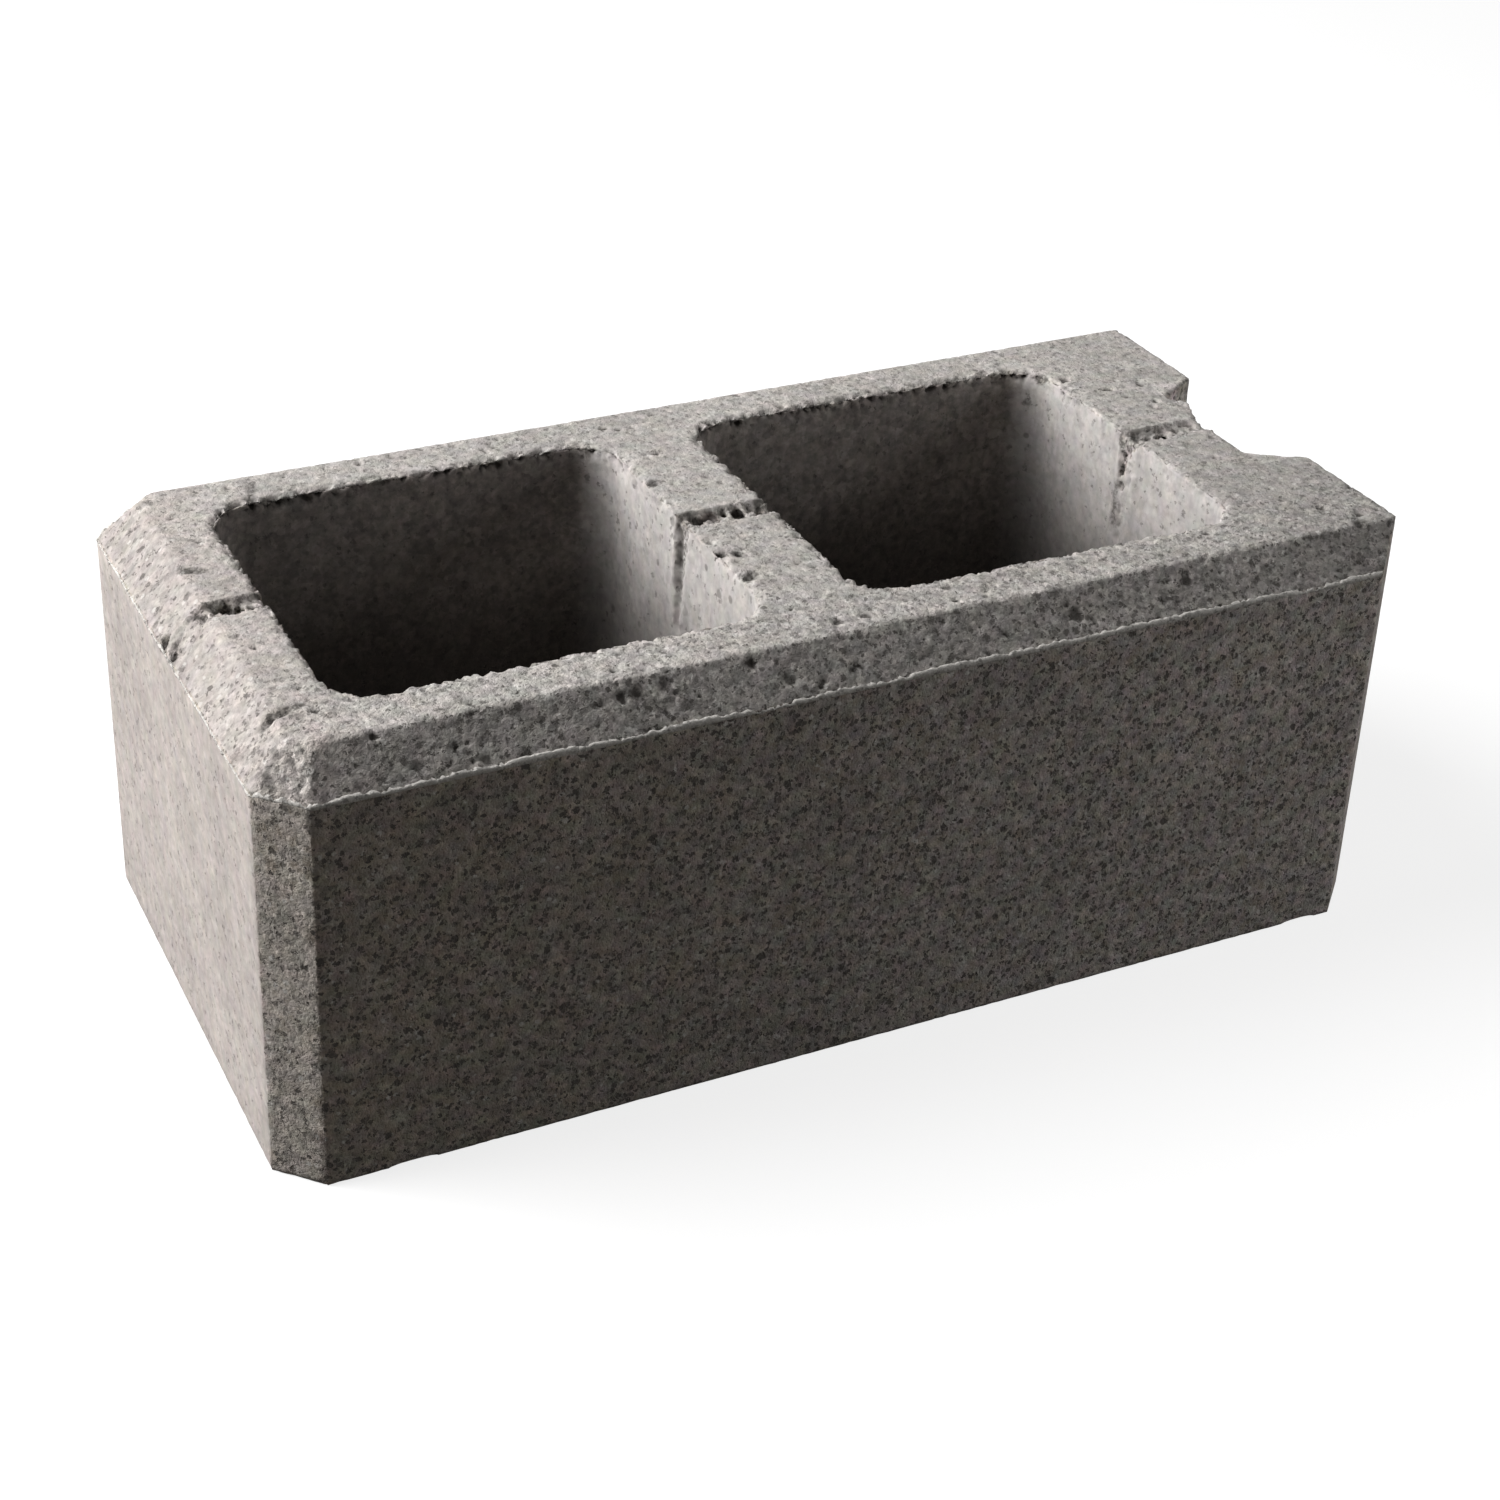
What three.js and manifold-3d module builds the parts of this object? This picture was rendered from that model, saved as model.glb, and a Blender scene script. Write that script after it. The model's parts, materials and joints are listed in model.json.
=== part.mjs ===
// Hollow concrete block with two cores, a flat end and a recessed end.
// Units are millimetres. The block stands on its bed face with +Z up; the length
// runs along X, the width along Y, and the origin is at the middle of the underside.
// The whole block is one moulded piece, so it is one mesh.

import * as THREE from 'three';
import { mergeVertices } from 'three/addons/utils/BufferGeometryUtils.js';
import Module from 'manifold-3d';

// ---------------------------------------------------------------- sizes

// overall block
const LENGTH = 400;
const WIDTH = 200;
const HEIGHT = 150;

// 45 degree chamfers down the four upright corners
const CORNER_CHAMFER = 14;

// 45 degree bevel that the tamper shoe presses round the top edge: along the front,
// the flat end, the back and the two chamfers between them, but not the recessed end
const TOP_BEVEL = 13.5;

// cores: moulding voids that pass right through, wider at the top
const FLAT_END_WEB = 34;
const MIDDLE_WEB = 34;
const RECESS_END_WEB = 32;
const FACE_SHELL = 34;
const CORE_CORNER_RADIUS = 14;
const CORE_DRAFT = 3;

// mortar recess down the full height of the other end
const RECESS_DEPTH = 19;
const RECESS_MOUTH = 72;
const RECESS_FLOOR = 50;

// slot that the core hanger bar leaves along the tops of the webs
const SLOT_TOP_WIDTH = 10;
const SLOT_FLOOR_WIDTH = 6;
const SLOT_DEPTH = 11;

// tapering scar that the same bar leaves down each core wall
const SCAR_LENGTH = 42;
const SCAR_TOP_WIDTH = 12;
const SCAR_TIP_WIDTH = 3;
const SCAR_DEPTH = 3;

// how far a cutter runs past the surface it cuts
const OVERRUN = 5;

// ---------------------------------------------------------------- helpers

const wasm = await Module();
wasm.setup();

function toSolid(geometry) {
  const bare = geometry.clone();
  bare.deleteAttribute('normal');
  bare.deleteAttribute('uv');
  const merged = mergeVertices(bare, 1e-4);
  const mesh = new wasm.Mesh({
    numProp: 3,
    vertProperties: new Float32Array(merged.attributes.position.array),
    triVerts: new Uint32Array(merged.index.array),
  });
  return new wasm.Manifold(mesh);
}

function toGeometry(solid) {
  const mesh = solid.getMesh();
  const geometry = new THREE.BufferGeometry();
  geometry.setAttribute('position', new THREE.BufferAttribute(new Float32Array(mesh.vertProperties), 3));
  geometry.setIndex(new THREE.BufferAttribute(new Uint32Array(mesh.triVerts), 1));
  const flat = geometry.toNonIndexed();
  flat.computeVertexNormals();
  return flat;
}

function polygon(points) {
  return new THREE.Shape(points.map(([x, y]) => new THREE.Vector2(x, y)));
}

// extrusion straight up from z = bottom
function pillar(shape, bottom, height) {
  const geometry = new THREE.ExtrudeGeometry(shape, { depth: height, bevelEnabled: false, curveSegments: 6 });
  geometry.translate(0, 0, bottom);
  return geometry;
}

// profile drawn in (y, z) and extruded along +X from x = start
function bar(points, start, length) {
  const geometry = new THREE.ExtrudeGeometry(polygon(points), { depth: length, bevelEnabled: false });
  geometry.rotateX(Math.PI / 2);
  geometry.rotateZ(Math.PI / 2);
  geometry.translate(start, 0, 0);
  return geometry;
}

function roundedRectangle(length, width, radius) {
  const x = length / 2;
  const y = width / 2;
  const shape = new THREE.Shape();
  shape.moveTo(-x + radius, -y);
  shape.lineTo(x - radius, -y);
  shape.absarc(x - radius, -y + radius, radius, -Math.PI / 2, 0, false);
  shape.lineTo(x, y - radius);
  shape.absarc(x - radius, y - radius, radius, 0, Math.PI / 2, false);
  shape.lineTo(-x + radius, y);
  shape.absarc(-x + radius, y - radius, radius, Math.PI / 2, Math.PI, false);
  shape.lineTo(-x, -y + radius);
  shape.absarc(-x + radius, -y + radius, radius, Math.PI, Math.PI * 1.5, false);
  return shape;
}

// ---------------------------------------------------------------- plain body

const halfLength = LENGTH / 2;
const halfWidth = WIDTH / 2;
const recessFloorX = halfLength - RECESS_DEPTH;

// front half of the outline in plan, from the flat end round to the recess floor
const frontHalf = [
  [-halfLength, -halfWidth + CORNER_CHAMFER],
  [-halfLength + CORNER_CHAMFER, -halfWidth],
  [halfLength - CORNER_CHAMFER, -halfWidth],
  [halfLength, -halfWidth + CORNER_CHAMFER],
  [halfLength, -RECESS_MOUTH / 2],
  [recessFloorX, -RECESS_FLOOR / 2],
];
const backHalf = frontHalf.map(([x, y]) => [x, -y]).reverse();

let block = toSolid(pillar(polygon([...frontHalf, ...backHalf]), 0, HEIGHT));

// ---------------------------------------------------------------- top bevel

// A three-sided cutter whose long face lies at 45 degrees through the two bevel
// edges. It is drawn for an edge whose outward side is -Y, then turned and placed.
function bevelCutter(outwardAngle, distance) {
  const reach = TOP_BEVEL + OVERRUN;
  const cutter = bar(
    [
      [-OVERRUN, -reach],
      [TOP_BEVEL + OVERRUN, OVERRUN],
      [-OVERRUN, OVERRUN],
    ],
    -LENGTH,
    2 * LENGTH,
  );
  cutter.translate(0, -distance, HEIGHT);
  cutter.rotateZ(outwardAngle);
  return cutter;
}

const chamferDistance = (halfLength + halfWidth - CORNER_CHAMFER) / Math.SQRT2;
const bevelCutters = [
  bevelCutter(0, halfWidth),
  bevelCutter(Math.PI, halfWidth),
  bevelCutter(-Math.PI / 2, halfLength),
  bevelCutter(-Math.PI / 4, chamferDistance),
  bevelCutter((-3 * Math.PI) / 4, chamferDistance),
];
for (const cutter of bevelCutters) {
  block = block.subtract(toSolid(cutter));
}

// ---------------------------------------------------------------- cores

const coreRoom = LENGTH - RECESS_DEPTH - FLAT_END_WEB - MIDDLE_WEB - RECESS_END_WEB;
const coreLength = coreRoom / 2;
const coreWidth = WIDTH - 2 * FACE_SHELL;
const firstCoreX = -halfLength + FLAT_END_WEB + coreLength / 2;
const secondCoreX = firstCoreX + coreLength + MIDDLE_WEB;

// rounded rectangle at the top that narrows by the draft on every side going down
function corePlug(centreX) {
  const geometry = pillar(roundedRectangle(coreLength, coreWidth, CORE_CORNER_RADIUS), -OVERRUN, HEIGHT + 2 * OVERRUN);
  const position = geometry.attributes.position;
  for (let i = 0; i < position.count; i += 1) {
    const inset = CORE_DRAFT * (1 - position.getZ(i) / HEIGHT);
    position.setX(i, position.getX(i) * (1 - (2 * inset) / coreLength));
    position.setY(i, position.getY(i) * (1 - (2 * inset) / coreWidth));
  }
  geometry.translate(centreX, 0, 0);
  return geometry;
}

block = block.subtract(toSolid(corePlug(firstCoreX)));
block = block.subtract(toSolid(corePlug(secondCoreX)));

// ---------------------------------------------------------------- bar slot and scars

const slot = bar(
  [
    [-SLOT_FLOOR_WIDTH / 2, HEIGHT - SLOT_DEPTH],
    [SLOT_FLOOR_WIDTH / 2, HEIGHT - SLOT_DEPTH],
    [SLOT_TOP_WIDTH / 2, HEIGHT],
    [SLOT_TOP_WIDTH / 2, HEIGHT + OVERRUN],
    [-SLOT_TOP_WIDTH / 2, HEIGHT + OVERRUN],
    [-SLOT_TOP_WIDTH / 2, HEIGHT],
  ],
  -halfLength - OVERRUN,
  LENGTH + 2 * OVERRUN,
);
block = block.subtract(toSolid(slot));

const scarProfile = [
  [-SCAR_TIP_WIDTH / 2, HEIGHT - SCAR_LENGTH],
  [SCAR_TIP_WIDTH / 2, HEIGHT - SCAR_LENGTH],
  [SCAR_TOP_WIDTH / 2, HEIGHT],
  [-SCAR_TOP_WIDTH / 2, HEIGHT],
];
for (const centreX of [firstCoreX, secondCoreX]) {
  const length = coreLength + 2 * SCAR_DEPTH;
  block = block.subtract(toSolid(bar(scarProfile, centreX - length / 2, length)));
}

// ---------------------------------------------------------------- scene graph

const concrete = new THREE.MeshStandardMaterial({ color: 0x8f8a84, roughness: 0.95, metalness: 0 });

const blockMesh = new THREE.Mesh(toGeometry(block), concrete);
blockMesh.name = 'block';

const model = new THREE.Group();
model.add(blockMesh);

export default model;
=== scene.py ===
"""Looks of a hollow concrete block, laid out as a Blender add-on and run as a script.

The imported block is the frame. Its closed shape is copied, chipped, filled with crumbs along the
bar slot, skinned again at about a millimetre and given the relief of dry-cast concrete.
"""

import json
import math
import random
from contextlib import contextmanager
from functools import partial

import bpy
from mathutils import Euler, Matrix, Vector

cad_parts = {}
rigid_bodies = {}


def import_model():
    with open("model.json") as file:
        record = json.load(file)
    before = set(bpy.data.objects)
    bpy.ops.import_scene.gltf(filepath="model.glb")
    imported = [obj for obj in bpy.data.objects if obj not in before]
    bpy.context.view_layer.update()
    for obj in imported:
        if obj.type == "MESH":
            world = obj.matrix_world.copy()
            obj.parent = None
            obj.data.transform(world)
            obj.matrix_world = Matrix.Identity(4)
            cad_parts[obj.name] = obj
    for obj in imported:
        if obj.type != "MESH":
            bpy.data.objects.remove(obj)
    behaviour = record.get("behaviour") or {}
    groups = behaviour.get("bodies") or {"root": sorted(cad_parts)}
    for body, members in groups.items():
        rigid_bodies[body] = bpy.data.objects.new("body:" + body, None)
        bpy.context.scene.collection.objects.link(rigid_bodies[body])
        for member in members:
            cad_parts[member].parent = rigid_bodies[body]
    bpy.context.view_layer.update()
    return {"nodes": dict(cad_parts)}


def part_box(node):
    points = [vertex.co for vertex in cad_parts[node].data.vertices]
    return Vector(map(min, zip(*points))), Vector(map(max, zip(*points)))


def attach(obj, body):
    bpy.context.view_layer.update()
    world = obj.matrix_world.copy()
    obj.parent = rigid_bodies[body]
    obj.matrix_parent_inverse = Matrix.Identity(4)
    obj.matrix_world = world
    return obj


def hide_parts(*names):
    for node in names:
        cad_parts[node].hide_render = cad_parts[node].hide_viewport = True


bl_info = {
    "name": "Hollow Concrete Block",
    "version": (1, 0, 0),
    "blender": (4, 5, 0),
    "location": "3D View > Sidebar > Concrete Block",
    "description": "Casts, weathers and finishes a hollow concrete block round its packed frame",
    "category": "Add Mesh",
}

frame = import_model()
NODE = "block"
LOW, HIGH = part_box(NODE)
MM = 0.001

# In millimetres: the height of the top, and where the flat end stands along X.
TOP = round(HIGH.z / MM, 3)
FLAT_END = round(LOW.x / MM, 3)


# ---- settings


def setting(kind, name, default, description, **fixed):
    """One setting of a group, with what all settings of its sort share."""
    return kind(name=name, default=default, description=description, **fixed)


number_setting = partial(setting, bpy.props.FloatProperty)
whole_setting = partial(setting, bpy.props.IntProperty)
vector_setting = partial(setting, bpy.props.FloatVectorProperty)
length_setting = partial(number_setting, unit="LENGTH", precision=4)
angle_setting = partial(number_setting, subtype="ANGLE")
power_setting = partial(number_setting, unit="POWER")
colour_setting = partial(vector_setting, subtype="COLOR", size=3, min=0, max=1)


class BlockShape(bpy.types.PropertyGroup):
    """Sizes of the block that its surface detail is placed by."""

    bevel: length_setting("Top Bevel", 0.0135, "Width of the bevel round the top edge")
    chamfer: length_setting("Corner Chamfer", 0.014, "Leg of the chamfers at the upright corners")
    end_web: length_setting("Flat End Web", 0.034, "Web between the flat end and the first core")
    middle_web: length_setting("Middle Web", 0.034, "Web between the two cores")
    recess_web: length_setting("Recess End Web", 0.032, "Web between second core and recess")
    shell: length_setting("Face Shell", 0.034, "Wall along each long side")
    core_corner: length_setting("Core Corner", 0.014, "Radius of the cores' corners at the top")
    recess: length_setting("Recess Depth", 0.019, "Depth of the mortar recess")
    recess_mouth: length_setting("Recess Mouth", 0.072, "Width of the recess at the end face")
    slot_width: length_setting("Slot Width", 0.010, "Width of the bar slot at the top")
    slot_depth: length_setting("Slot Depth", 0.011, "Depth of the bar slot")
    skin: length_setting("Skin Allowance", 0.0006, "How far the cast lies inside the frame")
    grid: length_setting("Surface Grid", 0.00105, "Edge length of the cast surface's mesh")
    seed: whole_setting("Seed", 7, "Seed of the crumbs' places")
    triangles: whole_setting("Triangles", 188000, "Triangles left after thinning")


class ConcreteLook(bpy.types.PropertyGroup):
    """Colours of the dry-cast concrete."""

    paste: colour_setting("Paste", (0.374, 0.352, 0.331), "Cement paste of the tamped top")
    moulded: colour_setting("Moulded", (0.360, 0.327, 0.303), "Paste of the moulded sides")
    warm_paste: colour_setting("Warm Paste", (0.395, 0.356, 0.334), "Paste near the flat end")
    # Painted light: a paler colour for the core walls that face the flat end, which the key lamp
    # lights.
    dry_wall: colour_setting("Dry Wall", (0.415, 0.390, 0.374), "Walls that face the flat end")
    pale_grain: colour_setting("Pale Grain", (0.66, 0.64, 0.61), "Pale sand grains")
    dark_grain: colour_setting("Dark Grain", (0.16, 0.15, 0.14), "Dark sand grains")
    # The pore colour also paints shade in the slot, the scars, the gouges and the relief's pits.
    pore: colour_setting("Pore", (0.06, 0.054, 0.048), "Inside of open pores")
    # The stain colour also paints shade on the sides towards the left.
    stain: colour_setting("Stain", (0.27, 0.225, 0.17), "Faint rusty stain on the sides")
    # Painted shade: multiplies the colour deeper in the cores and on the core walls that don't face
    # the flat end.
    painted_shade: colour_setting("Damp", (0.155, 0.145, 0.135), "What damp leaves of a colour")
    flash: colour_setting("Flash", (0.52, 0.50, 0.47), "Cement flash at the foot of the bevel")


class StudioStage(bpy.types.PropertyGroup):
    """Camera, light and floor."""

    azimuth: angle_setting("Azimuth", math.radians(-25.69), "Camera's side")
    elevation: angle_setting("Elevation", math.radians(28.33), "Camera's height")
    roll: angle_setting("Roll", math.radians(1.63), "Camera's lean")
    distance: length_setting("Distance", 0.9387, "Camera to the point it aims at")
    aim: vector_setting("Aim", (-0.0162, 0.0142, 0.1132), "Aimed-at point", subtype="XYZ")
    lens: number_setting("Lens", 66.12, "Focal length on a 36 mm sensor, in millimetres")
    shift: vector_setting("Shift", (0.0429, -0.1037), "Framing shift of the lens", size=2)
    key: power_setting("Key", 97.0, "Key lamp")
    fill: power_setting("Fill", 3.0, "Fill lamp")
    sky: number_setting("Sky", 0.029, "Strength of the even light")


# ---- mesh helpers


def select_only(*objects):
    """Leaves just these objects selected, the first one active."""
    bpy.ops.object.select_all(action="DESELECT")
    for item in objects:
        item.select_set(True)
    bpy.context.view_layer.objects.active = objects[0]


def added(operator, name, **settings):
    """A new object from an operator that adds one, with everything else deselected."""
    bpy.ops.object.select_all(action="DESELECT")
    operator(**settings)
    bpy.context.object.name = name
    return bpy.context.object


def apply_modifier(piece, kind, **settings):
    """Adds one modifier, sets it up and applies it."""
    modifier = piece.modifiers.new(kind.title(), kind)
    for name, value in settings.items():
        setattr(modifier, name, value)
    select_only(piece)
    bpy.ops.object.modifier_apply(modifier=modifier.name)


@contextmanager
def edit_mode():
    """Edit mode for the lines inside it."""
    bpy.ops.object.mode_set(mode="EDIT")
    yield
    bpy.ops.object.mode_set(mode="OBJECT")


def select_points(piece, points):
    """Selects just these points of a mesh."""
    with edit_mode():
        bpy.ops.mesh.select_mode(type="VERT")
        bpy.ops.mesh.select_all(action="DESELECT")
    for point in points:
        piece.data.vertices[point].select = True


def require_faces(piece):
    """Stops with an error where a piece came out empty."""
    if not piece.data.polygons:
        raise RuntimeError(f"{piece.name} came out empty")


# ---- node helpers


class Field:
    """A value that varies over a surface. Arithmetic on it adds Math nodes to its node tree."""

    def __init__(self, socket):
        self.socket = socket

    def __add__(self, other):
        return maths("ADD", self, other)

    def __sub__(self, other):
        return maths("SUBTRACT", self, other)

    def __rsub__(self, other):
        return maths("SUBTRACT", other, self)

    def __mul__(self, other):
        return maths("MULTIPLY", self, other)

    def __abs__(self):
        return maths("ABSOLUTE", self)

    __radd__ = __add__
    __rmul__ = __mul__


class VectorField(Field):
    """A vector or colour that varies over a surface; a number scales all its parts."""

    def __add__(self, other):
        return vector_maths("ADD", self, other)

    def __sub__(self, other):
        return vector_maths("SUBTRACT", self, other)

    def __mul__(self, factor):
        values = {0: self, "Scale": factor}
        return made(tree_of(self), "ShaderNodeVectorMath", values, operation="SCALE")


def tree_of(*values):
    """The node tree of the first field among the values."""
    return next(value.socket.id_data for value in values if isinstance(value, Field))


def add_node(tree, kind, values=None, **settings):
    """Adds a node, sets its own settings, then sets or links its inputs."""
    node = tree.nodes.new(kind)
    for name, value in settings.items():
        setattr(node, name, value)
    for key, value in (values or {}).items():
        if isinstance(value, Field):
            tree.links.new(value.socket, node.inputs[key])
        else:
            node.inputs[key].default_value = value
    return node


def field(socket):
    """An output socket, ready for arithmetic."""
    return VectorField(socket) if socket.type in ("VECTOR", "RGBA") else Field(socket)


def made(tree, kind, values=None, output=0, **settings):
    """One output of a new node."""
    return field(add_node(tree, kind, values, **settings).outputs[output])


def maths(operation, *values, kind="ShaderNodeMath", **settings):
    """What a Math node makes of the values."""
    settings["operation"] = operation
    return made(tree_of(*values), kind, dict(enumerate(values)), **settings)


# The same for vectors, and the larger and the smaller of two numbers.
vector_maths = partial(maths, kind="ShaderNodeVectorMath")
larger = partial(maths, "MAXIMUM")
smaller = partial(maths, "MINIMUM")


def ramp(value, start, end):
    """0 at start, 1 at end, smooth between; start may be the larger."""
    falls = float(start > end)
    values = {"Value": value, "From Min": min(start, end), "From Max": max(start, end)}
    values |= {"To Min": falls, "To Max": 1.0 - falls}
    return made(tree_of(value), "ShaderNodeMapRange", values, interpolation_type="SMOOTHSTEP")


def noise(vector, scale, detail=2.0, roughness=0.5):
    """Noise from 0 to 1 with features about 1/scale across."""
    values = {"Vector": vector, "Scale": scale, "Detail": detail, "Roughness": roughness}
    return made(tree_of(vector), "ShaderNodeTexNoise", values)


def noise_vector(vector, scale):
    """Three noises from -0.5 to 0.5 as a vector."""
    values = {"Vector": vector, "Scale": scale, "Detail": 1.0}
    return made(tree_of(vector), "ShaderNodeTexNoise", values, "Color") - (0.5, 0.5, 0.5)


def warped(place, *swirls):
    """The place pushed about by noise; each swirl has a scale and a reach."""
    return sum((noise_vector(place, scale) * reach for scale, reach in swirls), start=place)


def cells(vector, scale):
    """Cells about 1/scale across: the distance from their middles, and three random numbers."""
    node = add_node(tree_of(vector), "ShaderNodeTexVoronoi", {"Vector": vector, "Scale": scale})
    return field(node.outputs["Distance"]), separate(field(node.outputs["Color"]))


def sparse_dots(vector, spacing, share, radius, varied):
    """Round dots in a share of the cells, spacing apart: 0 outside them and up to 1 inside."""
    distance, (chance, strength, size) = cells(vector, 1.0 / spacing)
    distance = distance * spacing * (0.6 + 0.7 * size)
    dot = ramp(distance, radius, radius * 0.55)
    chosen = maths("LESS_THAN", chance, share)
    return dot * (chosen * (1.0 - varied + varied * strength))


def separate(vector):
    """The three parts of a vector or colour."""
    node = add_node(tree_of(vector), "ShaderNodeSeparateXYZ", {0: vector})
    return [field(socket) for socket in node.outputs]


def new_group(name, kind, inputs, outputs):
    """A node group with sockets of the named types, and its input fields."""
    group = bpy.data.node_groups.new(name, kind)
    for side, sockets in (("INPUT", inputs), ("OUTPUT", outputs)):
        for label, value in sockets.items():
            group.interface.new_socket(label, in_out=side, socket_type=f"NodeSocket{value}")
    enter = group.nodes.new("NodeGroupInput")
    return group, [field(enter.outputs[label]) for label in inputs]


def geometry_group(name):
    """A node group that changes a mesh, and the geometry that enters it."""
    sockets = {"Geometry": "Geometry"}
    group, (geometry,) = new_group(name, "GeometryNodeTree", sockets, sockets)
    group.is_modifier = True
    return group, geometry


def closed_group(group, *results):
    """The node group with its results linked to its outputs, in their order."""
    leave = group.nodes.new("NodeGroupOutput")
    for result, socket in zip(results, leave.inputs):
        group.links.new(result.socket, socket)
    return group


# ---- casting


def closed_copy(name):
    """A copy of the CAD block with its loose triangles merged into one closed mesh."""
    piece = bpy.data.objects.new(name, frame["nodes"][NODE].data.copy())
    piece.data.name = name
    piece.data.materials.clear()
    bpy.context.scene.collection.objects.link(piece)
    select_only(piece)
    with edit_mode():
        bpy.ops.mesh.select_all(action="SELECT")
        bpy.ops.mesh.remove_doubles(threshold=0.01 * MM)
    return piece


# The stock of lumps: how many, how rough, and how far a lump reaches past its half lengths.
PEBBLES = 4
PEBBLE_ROUGHNESS = 0.17
LUMP_REACH = 1.0 + PEBBLE_ROUGHNESS


def pebble_stock(rng):
    """Closed rough lumps about one unit in radius, to be copied wherever a lump is needed."""
    stock = []
    for _ in range(PEBBLES):
        pebble = added(bpy.ops.mesh.primitive_ico_sphere_add, "pebble", subdivisions=2, radius=1.0)
        for vertex in pebble.data.vertices:
            vertex.co *= 1.0 + rng.uniform(-PEBBLE_ROUGHNESS, PEBBLE_ROUGHNESS)
        stock.append(pebble)
    return stock


def add_lump(stock, rng, place, radii, turn=None):
    """A copy of a stock lump, stretched to its radii, turned and put in its place."""
    source = rng.choice(stock)
    lump = bpy.data.objects.new("lump", source.data.copy())
    bpy.context.scene.collection.objects.link(lump)
    if turn is None:
        turn = Euler([rng.uniform(0.0, math.tau) for _ in range(3)])
    stretch = Matrix.Diagonal((*radii, 1.0))
    lump.data.transform(Matrix.Translation(place) @ turn.to_matrix().to_4x4() @ stretch)
    return lump


def lump_radii(rng, least, most):
    """Three half lengths of a lump, drawn between two sizes in millimetres."""
    return [rng.uniform(least, most) * MM for _ in range(3)]


def web_spans(shape):
    """Where the three webs run along X, as (start, end)."""
    core = (HIGH.x - LOW.x - shape.recess - shape.end_web - shape.middle_web - shape.recess_web) / 2
    first = LOW.x + shape.end_web
    second = first + core + shape.middle_web
    return [(LOW.x, first), (first + core, second), (second + core, HIGH.x - shape.recess)]


def bevel_height(shape, along):
    """Height of the bevel over the flat end, carried on above the top."""
    return HIGH.z - shape.bevel + (along - LOW.x)


def deep_crumb(shape, stock, rng, start, end):
    """A crumb down in the slot, mostly beside its walls."""
    radii = lump_radii(rng, 0.8, 1.6)
    along = rng.uniform(start + 2.5 * MM, end - 0.5 * MM)
    side = rng.choice((-1.0, 1.0))
    across = side * (0.5 - 0.4 * rng.random() ** 1.4) * shape.slot_width
    floor = HIGH.z - shape.slot_depth
    roof = min(HIGH.z - 2.4 * MM, bevel_height(shape, along) - 1.4 * MM)
    height = floor + rng.random() ** 0.8 * (roof - floor)
    height = min(height, HIGH.z - 0.5 * MM - LUMP_REACH * max(radii))
    return add_lump(stock, rng, (along, across, height), radii)


def raised_crumb(shape, stock, rng, start, end):
    """A crumb that reaches up to just below the top."""
    radii = lump_radii(rng, 0.8, 1.5)
    along = rng.uniform(start, end - 0.6 * MM)
    across = rng.uniform(-0.48, 0.48) * shape.slot_width
    height = HIGH.z - rng.uniform(0.6, 2.0) * MM - LUMP_REACH * max(radii)
    return add_lump(stock, rng, (along, across, height), radii)


def bevel_crumb(shape, stock, rng):
    """A crumb just under the bevel over the flat end, kept to the near side further up."""
    radii = lump_radii(rng, 0.9, 1.6)
    rise = rng.random()
    along = LOW.x + (5.6 + 5.6 * rise) * MM
    across = rng.uniform(-0.5, 0.45 - 0.35 * rise) * shape.slot_width
    height = bevel_height(shape, along) - rng.uniform(1.7, 3.1) * MM
    return add_lump(stock, rng, (along, across, height), radii)


# How the slot is choked on each web: deep and raised crumbs in each millimetre.
SLOT_FILL = ((3.4, 0.7), (3.4, 0.65), (4.2, 1.5))
BEVEL_CRUMBS = 46


def fill_slot(shape, stock, rng):
    """Crumbs that choke the bar slot on each web and leave dark gaps between them."""
    crumbs = []
    for (start, end), (deep, raised) in zip(web_spans(shape), SLOT_FILL):
        for _ in range(int((end - start) / MM * deep)):
            crumbs.append(deep_crumb(shape, stock, rng, start, end))
        flat = max(start + 2.0 * MM, LOW.x + shape.bevel + 0.5 * MM)
        for _ in range(int((end - flat) / MM * raised)):
            crumbs.append(raised_crumb(shape, stock, rng, flat, end))
    for _ in range(BEVEL_CRUMBS):
        crumbs.append(bevel_crumb(shape, stock, rng))
    return crumbs


# The scars on the core walls: sizes and depths below the top in millimetres, and grains in each.
SCAR_HALF_WIDTH = 7.0
SCAR_TOP = 1.5
SCAR_FOOT = 42.5
SCAR_GRAINS = 420


def scarred_walls(shape):
    """The core walls that the slot crosses: where each stands along X, and the way into the web."""
    first, middle, last = web_spans(shape)
    return ((middle[0], 1.0), (last[0], 1.0), (first[1], -1.0), (middle[1], -1.0))


def scar_grain_depth(closed, across, down):
    """How deep a grain sits in its scar, in millimetres, or None where the scar stays open.

    A closed scar keeps a slanting gap at its top. An open one is filled up at its near side and
    gets deeper to its far side.
    """
    if closed:
        gap = -3.8 + 0.65 * min(down, 8.0) + 0.2 * min(max(down - 8.0, 0.0), 12.0)
        if abs(across - gap) < 1.8 - 0.05 * down:
            return None
        return 1.9 if across > gap and down < 20.0 else 1.0
    near = -6.2 + 0.16 * down
    if across < near:
        return 1.0
    return 1.8 + 2.2 * (across - near) / (SCAR_HALF_WIDTH - near)


def fill_scars(shape, stock, rng):
    """Torn grains down the scars below the slot; every second scar is closed by them."""
    grains = []
    for index, (wall, inward) in enumerate(scarred_walls(shape)):
        for _ in range(SCAR_GRAINS):
            down = rng.uniform(SCAR_TOP, SCAR_FOOT)
            across = rng.uniform(-SCAR_HALF_WIDTH, SCAR_HALF_WIDTH)
            radii = lump_radii(rng, 0.6, 1.3)
            depth = scar_grain_depth(index % 2 == 1, across, down)
            if depth is not None:
                place = (wall + inward * depth * MM, across * MM, HIGH.z - down * MM)
                grains.append(add_lump(stock, rng, place, radii))
    return grains


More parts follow.
